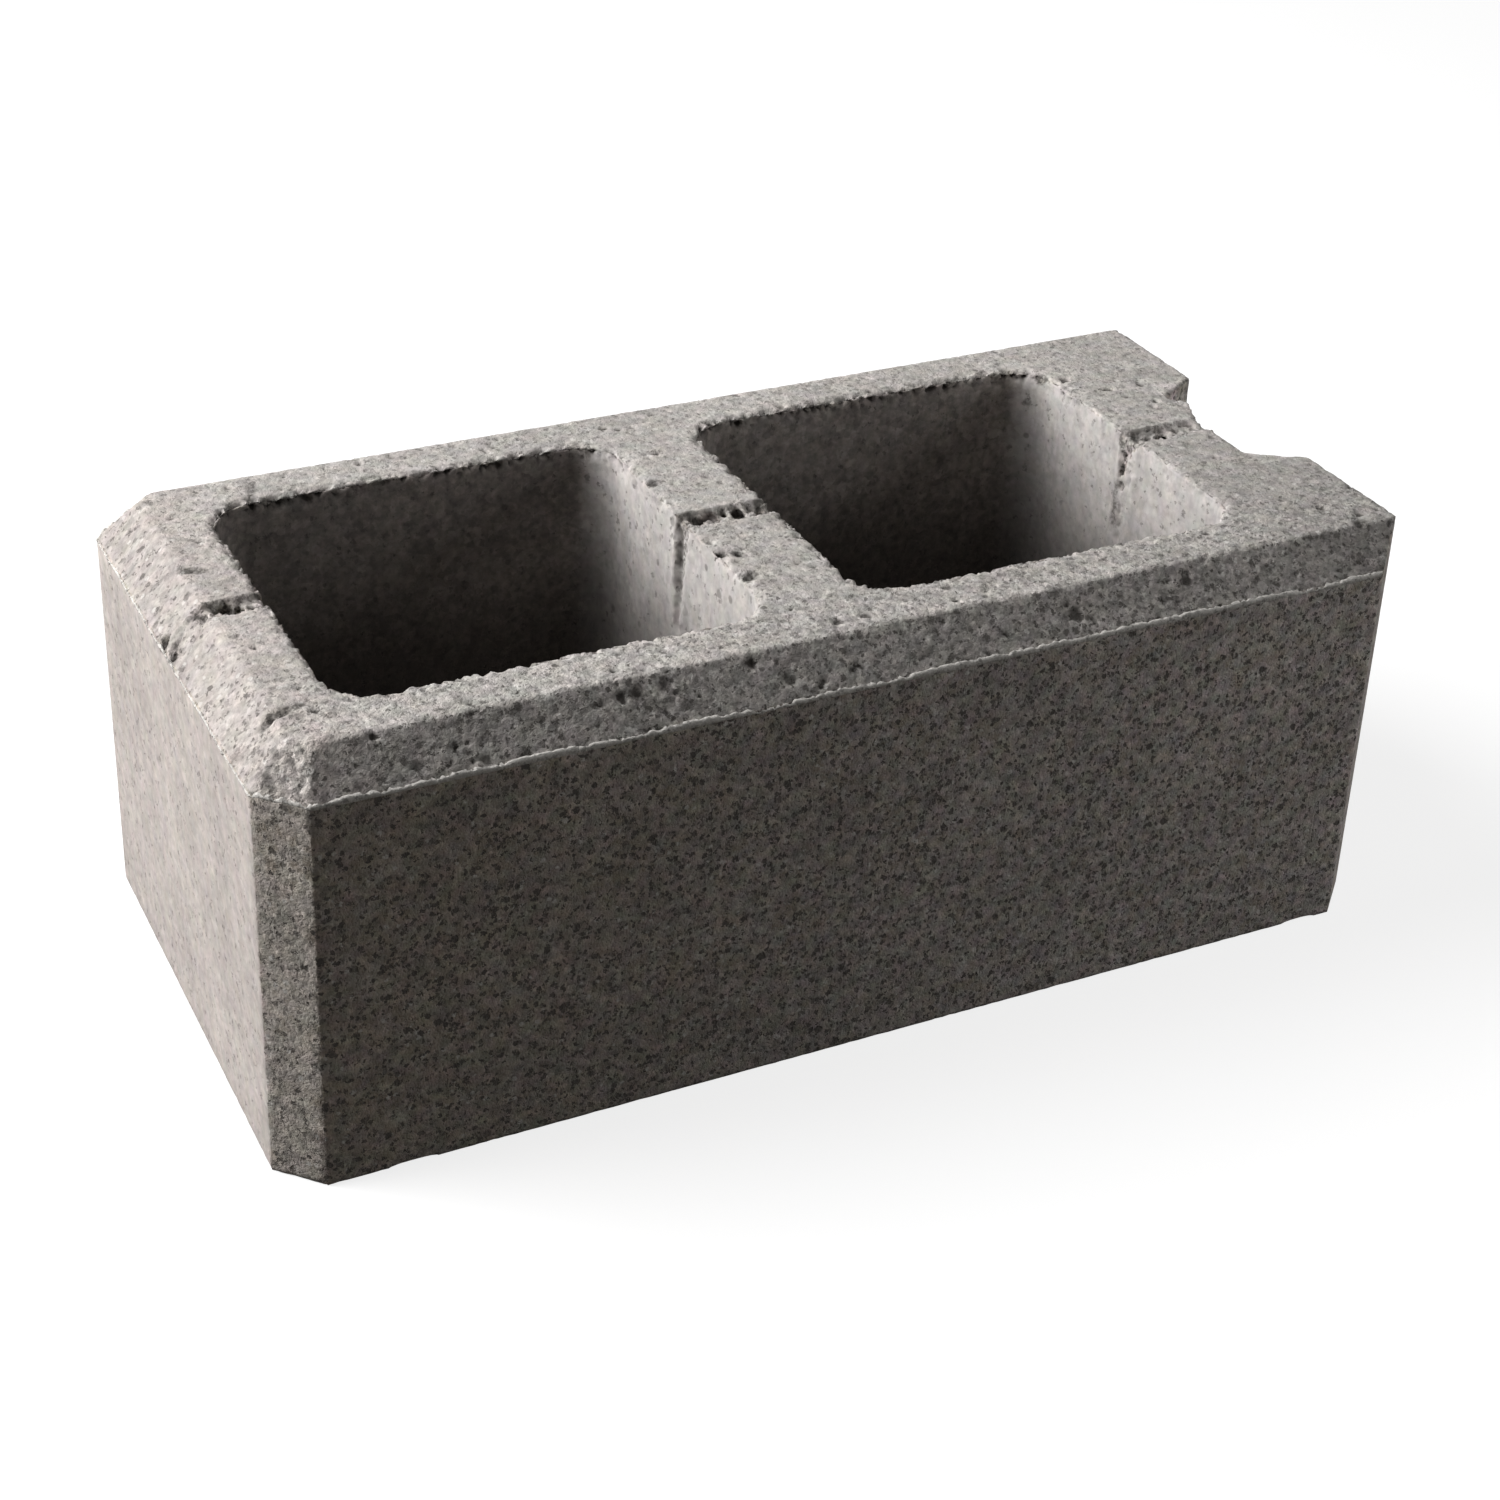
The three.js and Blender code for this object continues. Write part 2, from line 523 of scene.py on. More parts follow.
# Each gouge: its middle and its half lengths in millimetres, its turn about Z and about its own Y.
GOUGES = (
    ((-187.6, -67.6, 148.2), (3.4, 1.5, 2.6), 14.0, -40.0),
    ((-182.8, -66.8, 149.7), (3.2, 1.2, 2.2), 24.0, -8.0),
    ((-179.0, -65.4, 149.9), (2.8, 1.0, 2.0), 10.0, 0.0),
    ((-182.8, 27.0, 150.4), (5.0, 1.4, 2.0), -22.0, -12.0),
    ((-148.7, 76.0, 149.6), (0.9, 5.6, 2.4), -19.0, 0.0),
    ((-21.3, 29.9, 149.7), (2.6, 1.4, 2.2), 20.0, 0.0),
    ((-22.8, -24.9, 149.2), (1.6, 1.5, 3.0), 0.0, 0.0),
    ((-17.7, -27.7, 149.2), (1.4, 2.6, 3.2), 35.0, 0.0),
    ((-21.1, -42.7, 149.6), (3.6, 1.5, 2.2), 30.0, 0.0),
    ((150.8, 4.6, 148.0), (2.2, 2.6, 4.2), 0.0, 0.0),
    ((147.6, 58.0, 149.0), (2.4, 1.6, 2.8), 0.0, 0.0),
    ((184.5, -86.2, 149.8), (2.0, 1.7, 2.4), 10.0, 0.0),
    ((-81.4, -90.6, 146.0), (2.4, 1.6, 2.2), 0.0, 0.0),
    ((-72.0, -89.8, 146.8), (1.9, 1.4, 2.4), 40.0, 0.0),
    ((-199.0, 6.6, 137.4), (2.9, 2.3, 2.8), 0.0, 45.0),
    ((-196.9, -0.4, 139.4), (1.9, 1.3, 2.6), 20.0, 45.0),
    ((-197.8, -3.6, 138.5), (2.4, 2.0, 2.8), 0.0, 45.0),
    ((149.4, 4.0, 115.4), (2.4, 1.5, 1.9), 0.0, 0.0),
    ((149.2, 4.3, 122.0), (1.5, 0.7, 8.0), 0.0, 0.0),
    ((-159.0, -100.6, -0.6), (11.0, 1.7, 2.2), 0.0, 0.0),
    ((174.0, -100.6, -0.4), (9.0, 1.6, 2.0), 0.0, 3.0),
)


def gouge_cutters(stock, rng):
    """Rough lumps that are cut out of the block where it is gouged or chipped."""
    cutters = []
    for middle, halves, turn_z, turn_y in GOUGES:
        place = [value * MM for value in middle]
        radii = [value * MM for value in halves]
        turn = Euler((0.0, math.radians(turn_y), math.radians(turn_z)))
        cutters.append(add_lump(stock, rng, place, radii, turn))
    return cutters


# Each slumped lump, in millimetres: how far out from the recess floor, across and down from the
# top it sits, and its radius. The heap is struck off a little below the top.
SLUMPS = (
    (0.0, 21.5, 2.0, 4.2),
    (2.8, 19.8, 2.4, 4.4),
    (0.6, 15.5, 2.4, 4.6),
    (-0.8, 10.5, 2.6, 4.0),
    (-2.0, 4.5, 3.6, 3.2),
    (2.6, 20.5, 8.0, 5.4),
    (0.0, 13.0, 9.0, 5.4),
    (3.0, 20.0, 15.0, 6.0),
    (0.5, 13.5, 18.0, 5.0),
)
STRUCK_OFF = 0.7


def slumped_lumps(shape, stock, rng):
    """Concrete that slumped into the recess on the far side of the slot, struck off at its top."""
    lumps = []
    for out, across, down, radius in SLUMPS:
        place = (HIGH.x - shape.recess + out * MM, across * MM, HIGH.z - down * MM)
        lump = add_lump(stock, rng, place, [radius * MM] * 3)
        for vertex in lump.data.vertices:
            vertex.co.z = min(vertex.co.z, HIGH.z - STRUCK_OFF * MM)
        lumps.append(lump)
    return lumps


def drop_bubbles(piece):
    """Removes the closed bubbles that the new skin left inside the block."""
    outermost = min(piece.data.vertices, key=lambda vertex: vertex.co.x)
    select_points(piece, [outermost.index])
    with edit_mode():
        bpy.ops.mesh.select_linked()
        bpy.ops.mesh.select_all(action="INVERT")
        bpy.ops.mesh.delete(type="VERT")


class CONCRETE_OT_cast_block(bpy.types.Operator):
    """Copy the frame's block, cut its gouges, choke its slot and skin it on an even grid"""

    bl_idname = "concrete.cast_block"
    bl_label = "Cast Block"

    def execute(self, context):
        shape = context.scene.block_shape
        rng = random.Random(shape.seed)
        stock = pebble_stock(rng)
        cast = closed_copy("cast_block")
        gouges = gouge_cutters(stock, rng)
        for gouge in gouges:
            apply_modifier(cast, "BOOLEAN", object=gouge, operation="DIFFERENCE", solver="EXACT")
        select_only(*gouges)
        bpy.ops.object.join()
        gouges[0].name = "gouge_cutters"
        lumps = fill_slot(shape, stock, rng)
        lumps += fill_scars(shape, stock, rng)
        lumps += slumped_lumps(shape, stock, rng)
        select_only(cast, *lumps)
        bpy.ops.object.join()
        for pebble in stock:
            bpy.data.objects.remove(pebble)
        apply_modifier(cast, "REMESH", mode="VOXEL", voxel_size=shape.grid)
        drop_bubbles(cast)
        require_faces(cast)
        return {"FINISHED"}


FLASH_INSET = 0.8 * MM
FIN_WIDTH = 0.95 * MM
FIN_HEIGHT = 1.9 * MM


def flash_group(shape):
    """Geometry nodes that turn the outline into a thin ragged fin of cement."""
    group, geometry = geometry_group("Flash Fin")
    line = made(group, "GeometryNodeMeshToCurve", {0: geometry})
    spaced = {"Curve": line, "Length": 1.0 * MM}
    line = made(group, "GeometryNodeResampleCurve", spaced, mode="LENGTH")
    upright = made(group, "GeometryNodeSetCurveNormal", {"Curve": line}, mode="Z_UP")
    size = {"Width": FIN_WIDTH, "Height": FIN_HEIGHT}
    section = made(group, "GeometryNodeCurvePrimitiveQuadrilateral", size)
    swept = {"Curve": upright, "Profile Curve": section, "Fill Caps": True}
    fin = made(group, "GeometryNodeCurveToMesh", swept)
    place = made(group, "GeometryNodeInputPosition") * (1.0 / MM)
    x, _, z = separate(place)
    foot = (HIGH.z - shape.bevel) / MM
    crest = ramp(z, foot - 0.2, foot + 0.2)
    wave = noise(place, 0.045) - 0.55
    torn = noise(place, 0.6, 3.0, 0.75) - 0.5
    rise = smaller(5.0 * wave + 5.6 * torn, 0.4)
    flat_end = ramp(x, FLAT_END + 3.0, FLAT_END + 1.2)
    rise = (rise - 1.4 * flat_end) * crest
    moved = {"Geometry": fin, "Offset": made(group, "ShaderNodeCombineXYZ", {2: rise * MM})}
    return closed_group(group, made(group, "GeometryNodeSetPosition", moved))


class CONCRETE_OT_raise_flash(bpy.types.Operator):
    """Raise the thin fin of cement that the mould left along the foot of the bevel"""

    bl_idname = "concrete.raise_flash"
    bl_label = "Raise Flash"

    def execute(self, context):
        shape = context.scene.block_shape
        foot = (0.0, 0.0, HIGH.z - shape.bevel)
        flash = added(bpy.ops.mesh.primitive_plane_add, "flash_line", size=1.0, location=foot)
        length, width, _ = HIGH - LOW
        flash.scale = (length - 2.0 * FLASH_INSET, width - 2.0 * FLASH_INSET, 1.0)
        bpy.ops.object.transform_apply(location=True, rotation=True, scale=True)
        with edit_mode():
            bpy.ops.mesh.select_all(action="SELECT")
            bpy.ops.mesh.bevel(offset=shape.chamfer, affect="VERTICES")
            bpy.ops.mesh.select_all(action="SELECT")
            bpy.ops.mesh.delete(type="ONLY_FACE")
        recess_end = HIGH.x - 2.0 * FLASH_INSET
        select_points(flash, [v.index for v in flash.data.vertices if v.co.x > recess_end])
        with edit_mode():
            bpy.ops.mesh.delete(type="VERT")
        apply_modifier(flash, "NODES", node_group=flash_group(shape))
        require_faces(flash)
        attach(flash, "root")
        return {"FINISHED"}


# ---- relief

# What is stored on the block's points: zones from 0 to 1, and a distance.
ZONES = (
    "tamped",  # the pressed top and bevel
    "core_wall",  # inside the cores
    "flat_end",  # the flat end
    # The next zone carries painted light: the core walls that face the flat end are painted paler.
    "dry_wall",  # the core walls that face the flat end
    "corner",  # the two chamfers of the flat end
    "facet",  # the bevel above those chamfers
    "brow",  # the bevel along the front and back
    "gouged",  # where a gouge was cut
    "torn",  # inside the scars
    "pit",  # open pits, 1 at the bottom of the deepest
    "sag",  # how far the finished surface lies below its surroundings, in millimetres
)


class Lie:
    """How the cast surface lies, in millimetres: where it is, which way it faces, how it bends."""

    def __init__(self, group):
        self.position = made(group, "GeometryNodeInputPosition")
        self.place = self.position * (1.0 / MM)
        self.x, self.y, self.z = separate(self.place)
        normal = made(group, "GeometryNodeInputNormal")
        self.outward = vector_maths("NORMALIZE", blurred(normal, 3))
        self.out_x, self.out_y, self.up = separate(self.outward)
        self.tamped = ramp(self.up, 0.35, 0.6)
        self.steep = ramp(abs(self.up), 0.5, 0.2)
        self.far = ramp(self.y, 20.0, 60.0)
        self.over_end = ramp(self.out_x, -0.4, -0.6) * self.tamped

    def sag(self, steps):
        """How far the surface lies below its surroundings; negative on arrises."""
        around = blurred(self.place, steps) - self.place
        return vector_maths("DOT_PRODUCT", around, self.outward, output=1)


def blurred(vector, steps):
    """The vector averaged over the mesh's neighbouring points."""
    kind = {"data_type": "FLOAT_VECTOR"}
    values = {"Value": vector, "Iterations": steps}
    return made(tree_of(vector), "GeometryNodeBlurAttribute", values, "Value", **kind)


def stored(geometry, name, value):
    """The geometry with a number stored on its points as a named attribute."""
    kind = {"data_type": "FLOAT", "domain": "POINT"}
    values = {"Geometry": geometry, "Name": name, "Value": value}
    return made(tree_of(geometry), "GeometryNodeStoreNamedAttribute", values, **kind)


def in_cores(shape, lie):
    """1 on the walls of the two cores, and on the webs' walls between them."""
    first = (LOW.x + shape.end_web) / MM
    last = (HIGH.x - shape.recess - shape.recess_web) / MM
    inside_x = ramp(lie.x, first - 1.5, first) * ramp(lie.x, last + 1.5, last)
    half_width = (HIGH.y - shape.shell) / MM
    inside_y = ramp(abs(lie.y), half_width + 1.5, half_width)
    return inside_x * inside_y * lie.steep


def slot_zones(shape, lie):
    """1 inside the slot and the scars, and 1 inside the torn part of the scars."""
    scarred = 0.0
    torn = 0.0
    for wall, inward in scarred_walls(shape):
        depth = (lie.x - wall / MM) * inward
        scarred = larger(ramp(abs(depth), 7.0, 5.0), scarred)
        torn = larger(ramp(depth, 0.6, 2.0) * ramp(depth, 6.0, 5.0), torn)
    foot = TOP - SCAR_FOOT
    scarred = scarred * ramp(lie.z, foot - 3.5, foot - 0.5)
    floor = TOP - shape.slot_depth / MM
    in_slot = larger(scarred, ramp(lie.z, floor - 1.5, floor + 1.0))
    in_slot = in_slot * ramp(abs(lie.y), SCAR_HALF_WIDTH, 5.0)
    return in_slot, torn * in_slot


def worn_arrises(lie, solid):
    """What is rubbed off the arrises: much where dry concrete crumbled, little further down."""
    edge = ramp(lie.sag(5), -0.12, -0.5)
    near_top = ramp(lie.z, TOP - 17.0, TOP - 12.0)
    chip = ramp(noise(lie.place, 0.2, 3.0), 0.45, 0.72)
    rub = (0.3 + 1.3 * chip) * (0.2 + 0.8 * near_top)
    crisp = 1.0 - 0.7 * ramp(lie.x, 172.0, 178.0)
    return edge * rub * solid * crisp


def core_rim(shape, lie):
    """1 on the edge of a core's mouth and 0 a few millimetres from it."""
    (_, start), (end, after), _ = web_spans(shape)
    half_length = (end - start) / 2.0 / MM
    half_width = (HIGH.y - shape.shell) / MM
    web_middle = (end + after) / 2.0 / MM
    core_middle = half_length + shape.middle_web / 2.0 / MM
    radius = shape.core_corner / MM
    along = abs(abs(lie.x - web_middle) - core_middle) - half_length
    across = abs(lie.y) - half_width
    over_x = larger(along + radius, 0.0)
    over_y = larger(across + radius, 0.0)
    reach = maths("SQRT", over_x * over_x + over_y * over_y)
    inner = larger(along, across) + radius
    away = reach + smaller(inner, 0.0)
    return ramp(abs(away - radius), 4.5, 1.5)


def crumbled_rims(shape, lie, solid):
    """Bites and nicks out of the rims of the cores, with grains left standing."""
    bites = ramp(noise(lie.place, 0.22, 3.0, 0.65), 0.43, 0.66) * (-1.9 - 1.2 * lie.far)
    spells = ramp(noise(lie.place, 0.045, 1.0), 0.36, 0.58)
    bites = bites * (0.35 + 0.75 * spells)
    nicks = ramp(noise(lie.place, 0.45, 2.0, 0.6), 0.5, 0.64)
    bites = bites + nicks * (-1.0 - 0.9 * lie.far)
    distance, _ = cells(lie.place, 0.42)
    ragged = smaller(bites - 0.7 * (distance - 0.5), 0.0)
    rim_zone = ramp(lie.z, TOP - 7.0, TOP - 1.5)
    ragged = ragged * (rim_zone * solid) * core_rim(shape, lie)
    for web_start, _ in web_spans(shape)[1:]:
        away = abs(lie.x - web_start / MM)
        ragged = ragged * (1.0 - 0.6 * ramp(away, 6.0, 4.0))
    return ragged


def pressed_surface(lie):
    """Shallow lumps and grains, coarse where tamped and calm on the far part of the top."""
    lump = noise(lie.place, 0.09) - 0.5
    distance, _ = cells(lie.place, 0.4)
    fine = noise(lie.place, 0.6, 1.0) - 0.5
    surface = 0.55 * lump + 0.5 * (0.45 - distance) + 0.6 * fine
    coarse = 0.1 + 0.6 * lie.tamped + 0.1 * lie.over_end
    calm = 1.0 - 0.36 * ramp(lie.y, -76.0, -50.0)
    return surface * (coarse * calm)


def open_pits(lie, solid):
    """Open pits, 1 at the bottom of the deepest: wide and small ones, most of them where tamped."""
    place = warped(lie.place, (0.35, 3.5), (0.9, 1.8))
    wide = sparse_dots(place, 11.0, 0.3, 2.3, 0.5)
    small = sparse_dots(place, 3.9, 0.24, 1.25, 0.5)
    pit = larger(wide, 0.75 * small)
    return pit * (0.08 + 0.92 * lie.tamped) * (1.0 - 0.65 * lie.over_end) * solid


def end_zones(lie):
    """The flat end, its two chamfers, and the facets of the bevel above them."""
    flat_end = ramp(lie.out_x, -0.8, -0.95) * lie.steep
    flat_end = flat_end * ramp(lie.x, FLAT_END + 3.0, FLAT_END + 1.0)
    corner = ramp(lie.out_x, -0.5, -0.6) * lie.steep
    corner = corner * ramp(lie.out_x, -0.86, -0.76)
    corner = corner * ramp(lie.x, FLAT_END + 20.0, FLAT_END + 16.0)
    facet = ramp(lie.out_x, -0.22, -0.36) * lie.tamped
    facet = facet * ramp(abs(lie.out_y), 0.22, 0.36)
    return flat_end, corner, facet


def relief_group(shape, cutters):
    """Geometry nodes that roughen the cast surface, set it back into the frame and store ZONES."""
    group, geometry = geometry_group("Concrete Relief")
    lie = Lie(group)
    in_slot, torn = slot_zones(shape, lie)
    solid = 1.0 - in_slot
    pit = open_pits(lie, solid)
    jumble = noise(lie.place, 0.75, 2.0, 0.6) - 0.56
    out = pressed_surface(lie) - 1.3 * pit
    out = out + crumbled_rims(shape, lie, solid) - worn_arrises(lie, solid)
    out = smaller(out + 2.4 * (jumble * in_slot), 0.45)
    out = out - (shape.skin / MM) * solid
    core_wall = in_cores(shape, lie)
    flat_end, corner, facet = end_zones(lie)
    bevelled = maths("SUBTRACT", lie.tamped, facet, use_clamp=True)
    marks = made(group, "GeometryNodeObjectInfo", {"Object": cutters}, "Geometry")
    sampled = {"Geometry": marks, "Sample Position": lie.position}
    nearness = made(group, "GeometryNodeProximity", sampled, "Distance")
    zones = {
        "tamped": lie.tamped,
        "core_wall": core_wall,
        "flat_end": flat_end,
        # Painted light: the core walls that face the flat end, to be painted paler.
        "dry_wall": ramp(lie.out_x, -0.15, -0.75) * core_wall,
        "corner": corner,
        "facet": facet,
        "brow": ramp(abs(lie.out_y), 0.4, 0.6) * bevelled,
        "gouged": ramp(nearness, 1.0 * MM, 0.4 * MM),
        "torn": torn,
        "pit": pit,
    }
    for name, value in zones.items():
        geometry = stored(geometry, name, value)
    moved = {"Geometry": geometry, "Offset": lie.outward * (out * MM)}
    geometry = made(group, "GeometryNodeSetPosition", moved)
    return closed_group(group, stored(geometry, "sag", lie.sag(7)))


class CONCRETE_OT_weather_surface(bpy.types.Operator):
    """Press the relief of dry-cast concrete into the block and thin its plain areas"""

    bl_idname = "concrete.weather_surface"
    bl_label = "Weather Surface"

    def execute(self, context):
        shape = context.scene.block_shape
        cast = bpy.data.objects["cast_block"]
        cutters = bpy.data.objects["gouge_cutters"]
        apply_modifier(cast, "NODES", node_group=relief_group(shape, cutters))
        bpy.data.objects.remove(cutters)
        plain_top = HIGH.z - shape.bevel - 2.5 * MM
        plain = cast.vertex_groups.new(name="plain")
        plain.add([v.index for v in cast.data.vertices if v.co.z < plain_top], 1.0, "REPLACE")
        ratio = shape.triangles / (2.0 * len(cast.data.polygons))
        apply_modifier(
            cast, "DECIMATE", ratio=ratio, vertex_group="plain", vertex_group_factor=1.0
        )
        cast.vertex_groups.clear()
        select_only(cast)
        bpy.ops.object.shade_smooth()
        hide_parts(NODE)
        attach(cast, "root")
        return {"FINISHED"}


# ---- finish


def grain_group():
    """Sand and cement seen close: tones about 0, pale and dark grains, and a height."""
    outputs = dict.fromkeys(("Tone", "Clump", "Pale", "Dark", "Height"), "Float")
    group, (place,) = new_group("Sand And Cement", "ShaderNodeTree", {"Place": "Vector"}, outputs)
    moved = warped(place, (1.0, 1.1))
    fine, fine_random = cells(moved, 0.75)
    coarse, coarse_random = cells(moved, 0.36)
    speck = noise(place, 1.5, 2.0, 0.7) - 0.5
    tone = fine_random[0] - 0.5 + 1.5 * speck
    clump = coarse_random[0] - 0.5 + 2.5 * (noise(place, 0.34, 1.0) - 0.5)
    pale = maths("GREATER_THAN", coarse_random[1], 0.88) * ramp(coarse, 0.42, 0.3)
    dark = maths("GREATER_THAN", fine_random[1], 0.9) * ramp(fine, 0.6, 0.35)
    height = 0.6 - fine + 1.5 * speck
    return closed_group(group, tone, clump, pale, dark, height)


def pore_group():
    """Ragged pores between the grains: a mask, 1 inside a pore. Share 1 opens every cell."""
    inputs = {"Place": "Vector", "Share": "Float"}
    group, (place, share) = new_group("Open Pores", "ShaderNodeTree", inputs, {"Mask": "Float"})
    moved = warped(place, (0.8, 2.2), (2.0, 1.2))
    fine = sparse_dots(moved, 1.8, share, 0.8, 0.6)
    coarse = sparse_dots(moved, 3.2, 0.45 * share, 1.15, 0.5)
    return closed_group(group, larger(fine, coarse))


def cloud_group():
    """Broad blotches of the cement: a tone from about -1 to 1, faint stains, and a hue about 0."""
    outputs = {"Tone": "Float", "Stain": "Float", "Hue": "Vector"}
    group, (place,) = new_group("Cement Clouds", "ShaderNodeTree", {"Place": "Vector"}, outputs)
    tone = 1.5 * (noise(place, 0.025, 3.0) - 0.5) + 1.4 * (noise(place, 0.14, 3.0) - 0.5)
    stain = ramp(noise(place, 0.05) * noise(place, 0.3), 0.27, 0.4)
    return closed_group(group, tone, stain, noise_vector(place, 0.17))


def use_group(group, **values):
    """Places a node group, sets its inputs and returns its outputs by name."""
    node = add_node(tree_of(*values.values()), "ShaderNodeGroup", values, node_tree=group)
    return {socket.name: field(socket) for socket in node.outputs}


def attribute(tree, name):
    """A number stored on the mesh."""
    return made(tree, "ShaderNodeAttribute", output="Fac", attribute_name=name)


def mixed(factor, first, second, blend="MIX"):
    """Mixes two colours."""
    first, second = [
        colour if isinstance(colour, Field) else (*colour, 1.0) for colour in (first, second)
    ]
    tree = tree_of(factor, first, second)
    values = {"Factor": factor, "A": first, "B": second}
    return made(tree, "ShaderNodeMix", values, "Result", data_type="RGBA", blend_type=blend)


def painted(colour, *coats):
    """The colour under coats of others, each where its mask is."""
    for mask, coat in coats:
        colour = mixed(mask, colour, coat)
    return colour


def toned(colour, *tones):
    """The colour brightened or darkened by tones, each with its strength."""
    for tone, strength in tones:
        factor = 1.0 + strength * tone
        grey = made(tree_of(tone), "ShaderNodeCombineXYZ", dict.fromkeys((0, 1, 2), factor))
        colour = mixed(1.0, colour, grey, "MULTIPLY")
    return colour


def shown(zone, strength, rest):
    """strength inside the zone and rest outside it."""
    return rest + (strength - rest) * zone


class Surface:
    """What the concrete's colour is worked out from: places in millimetres, zones and patterns."""

    def __init__(self, tree, groups):
        grains, self.pores, clouds = groups
        self.place = made(tree, "ShaderNodeTexCoord", output="Object") * (1.0 / MM)
        self.x, self.y, self.z = separate(self.place)
        self.grain = use_group(grains, Place=self.place)
        self.cloud = use_group(clouds, Place=self.place)


class CastSurface(Surface):
    """The block's surface, with the zones that its relief stored and the ones made of them."""

    def __init__(self, tree, groups):
        super().__init__(tree, groups)
        for name in ZONES:
            setattr(self, name, attribute(tree, name))
        self.tight = larger(self.flat_end, self.core_wall)
        self.side = 1.0 - larger(larger(self.tamped, self.tight), self.corner)
        self.shaded = self.core_wall - self.dry_wall
        self.back = ramp(self.y, -60.0, 60.0)
        self.right = ramp(self.x, 20.0, 150.0)
        self.upper = ramp(self.z, TOP - 3.0, TOP - 1.0) * self.tamped
        self.quiet = ramp(self.y, -76.0, -50.0) * self.tamped
        self.crown = ramp(self.z, 128.0, 134.0)
        drawn_out = {"Vector": self.place, "Scale": (1.0, 1.0, 0.1)}
        drag = made(tree, "ShaderNodeMapping", drawn_out)
        self.streak = (noise(drag, 0.7) - 0.5) * self.core_wall
        self.opened = self.opened_pores()

    def opened_pores(self):
        """How dark the open pores show."""
        near = ramp(self.y, 0.0, -70.0) * self.tamped
        share = shown(self.tight, 0.12, 0.78) - 0.52 * self.tamped
        share = share + 0.14 * near + 0.28 * self.brow - 0.4 * self.corner
        pore = use_group(self.pores, Place=self.place, Share=share)["Mask"]
        distant = ramp(self.y, -72.0, -40.0) * self.upper
        darkness = shown(self.tight, 0.5, 0.97) - 0.25 * self.tamped
        return pore * (darkness + 0.2 * self.brow - 0.22 * distant)


def pasted(look, cast):
    """The plain cement paste of each zone, with painted light: a paler paste on the core walls that
    face the flat end.
    """
    warm = larger(ramp(cast.x, -150.0, -188.0) * cast.tamped, cast.flat_end)
    return painted(
        look.moulded,
        (cast.tamped, look.paste),
        (0.8 * warm, look.warm_paste),
        (cast.dry_wall, look.dry_wall),
        (cast.corner, look.paste),
    )


def shaped_tones(shape, cast, colour):
    """Tones that go with the shape: the corners, with painted light on the near chamfer, the bevel
    and its lip, and the recess, painted lighter.
    """
    crest = FLAT_END + shape.bevel / MM
    lip = ramp(cast.x, crest + 2.5, crest - 1.5) * cast.tamped
    lip = lip * (0.5 + 0.7 * ramp(cast.y, -30.0, 60.0))
    floor = (HIGH.x - shape.recess) / MM
    half_mouth = shape.recess_mouth / 2.0 / MM
    niche = ramp(cast.x, floor - 0.6, floor + 0.4)
    niche = niche * ramp(abs(cast.y), half_mouth + 0.2, half_mouth - 1.2)
    return toned(
        colour,
        # Painted light: the near chamfer of the flat end is painted lighter, the far one not.
        (cast.corner, 0.58 - 0.58 * cast.back),
        (cast.facet, 0.05 - 0.16 * cast.back),
        (cast.brow, -0.16),
        (lip, -0.12),
        # Painted light: the recess is painted lighter, its walls more than the tamped parts in it.
        (niche * cast.tamped, 0.2),
        (niche * (1.0 - cast.tamped), 0.52),
    )


def placed_tones(look, cast, colour):
    """Tones that change slowly along the block: its walls and sides, with painted light and shade,
    then its top.
    """
    # The painted light on the core walls that face the flat end is toned down towards the right.
    colour = toned(colour, (cast.dry_wall, -0.08 * cast.right))
    # A warm stain that also paints shade: the sides are painted darker towards the left.
    stain_and_shade = (1.0 - larger(cast.tamped, cast.tight)) * ramp(cast.x, 80.0, -180.0)
    colour = mixed(0.42 * stain_and_shade, colour, look.stain)
    fade = (0.17 * cast.back - 0.16) * ramp(cast.x, 100.0, 190.0)
    leftward = 0.05 - 0.05 * ramp(cast.x, -60.0, -150.0)
    fade = fade + ramp(cast.y, -60.0, 40.0) * leftward
    # Painted light: the sides are painted lighter towards the right.
    rightward = cast.side * cast.right
    return toned(colour, (rightward, 0.09), (cast.upper, 0.07), (cast.tamped, fade))


def clouded(cast, colour):
    """Broad blotches, lighter and darker, with a slight change of hue."""
    colour = toned(colour, (cast.cloud["Tone"], 0.4 - 0.12 * cast.tamped))
    hue = cast.cloud["Hue"] * shown(cast.side, 0.27, 0.1) + (1.0, 1.0, 1.0)
    return mixed(1.0, colour, hue, "MULTIPLY")


def sanded(cast, colour):
    """The tones of single grains and of clumps, and the drag marks on the core walls."""
    rough_facet = cast.facet * (0.35 - 0.3 * cast.back)
    grained = shown(cast.tight, 0.06, 0.42) - 0.16 * cast.tamped + rough_facet
    grained = grained + 0.2 * cast.shaded - 0.09 * cast.quiet + 0.1 * cast.brow
    clumped = shown(cast.tight, 0.15, 0.36) + 0.04 * cast.tamped + rough_facet
    clumped = clumped + 0.25 * cast.shaded - 0.13 * cast.quiet
    fine, coarse = cast.grain["Tone"], cast.grain["Clump"]
    return toned(colour, (fine, grained), (coarse, clumped), (cast.streak, 0.14))


def specked(look, cast, colour):
    """Rusty stains on the moulded sides, spots where they are tight, and pale and dark grains."""
    stained = cast.cloud["Stain"] * shown(cast.tight, 0.15, 1.0) * (1.0 - cast.tamped)
    spot = sparse_dots(cast.place, 9.0, 0.3, 1.7, 0.7) * cast.tight
    plain = shown(cast.tight, 0.12, 0.6)
    return painted(
        colour,
        (0.5 * stained, look.stain),
        (0.6 * spot, look.pore),
        (cast.grain["Pale"] * (plain - 0.2 * cast.tamped), look.pale_grain),
        (cast.grain["Dark"] * plain, look.dark_grain),
    )


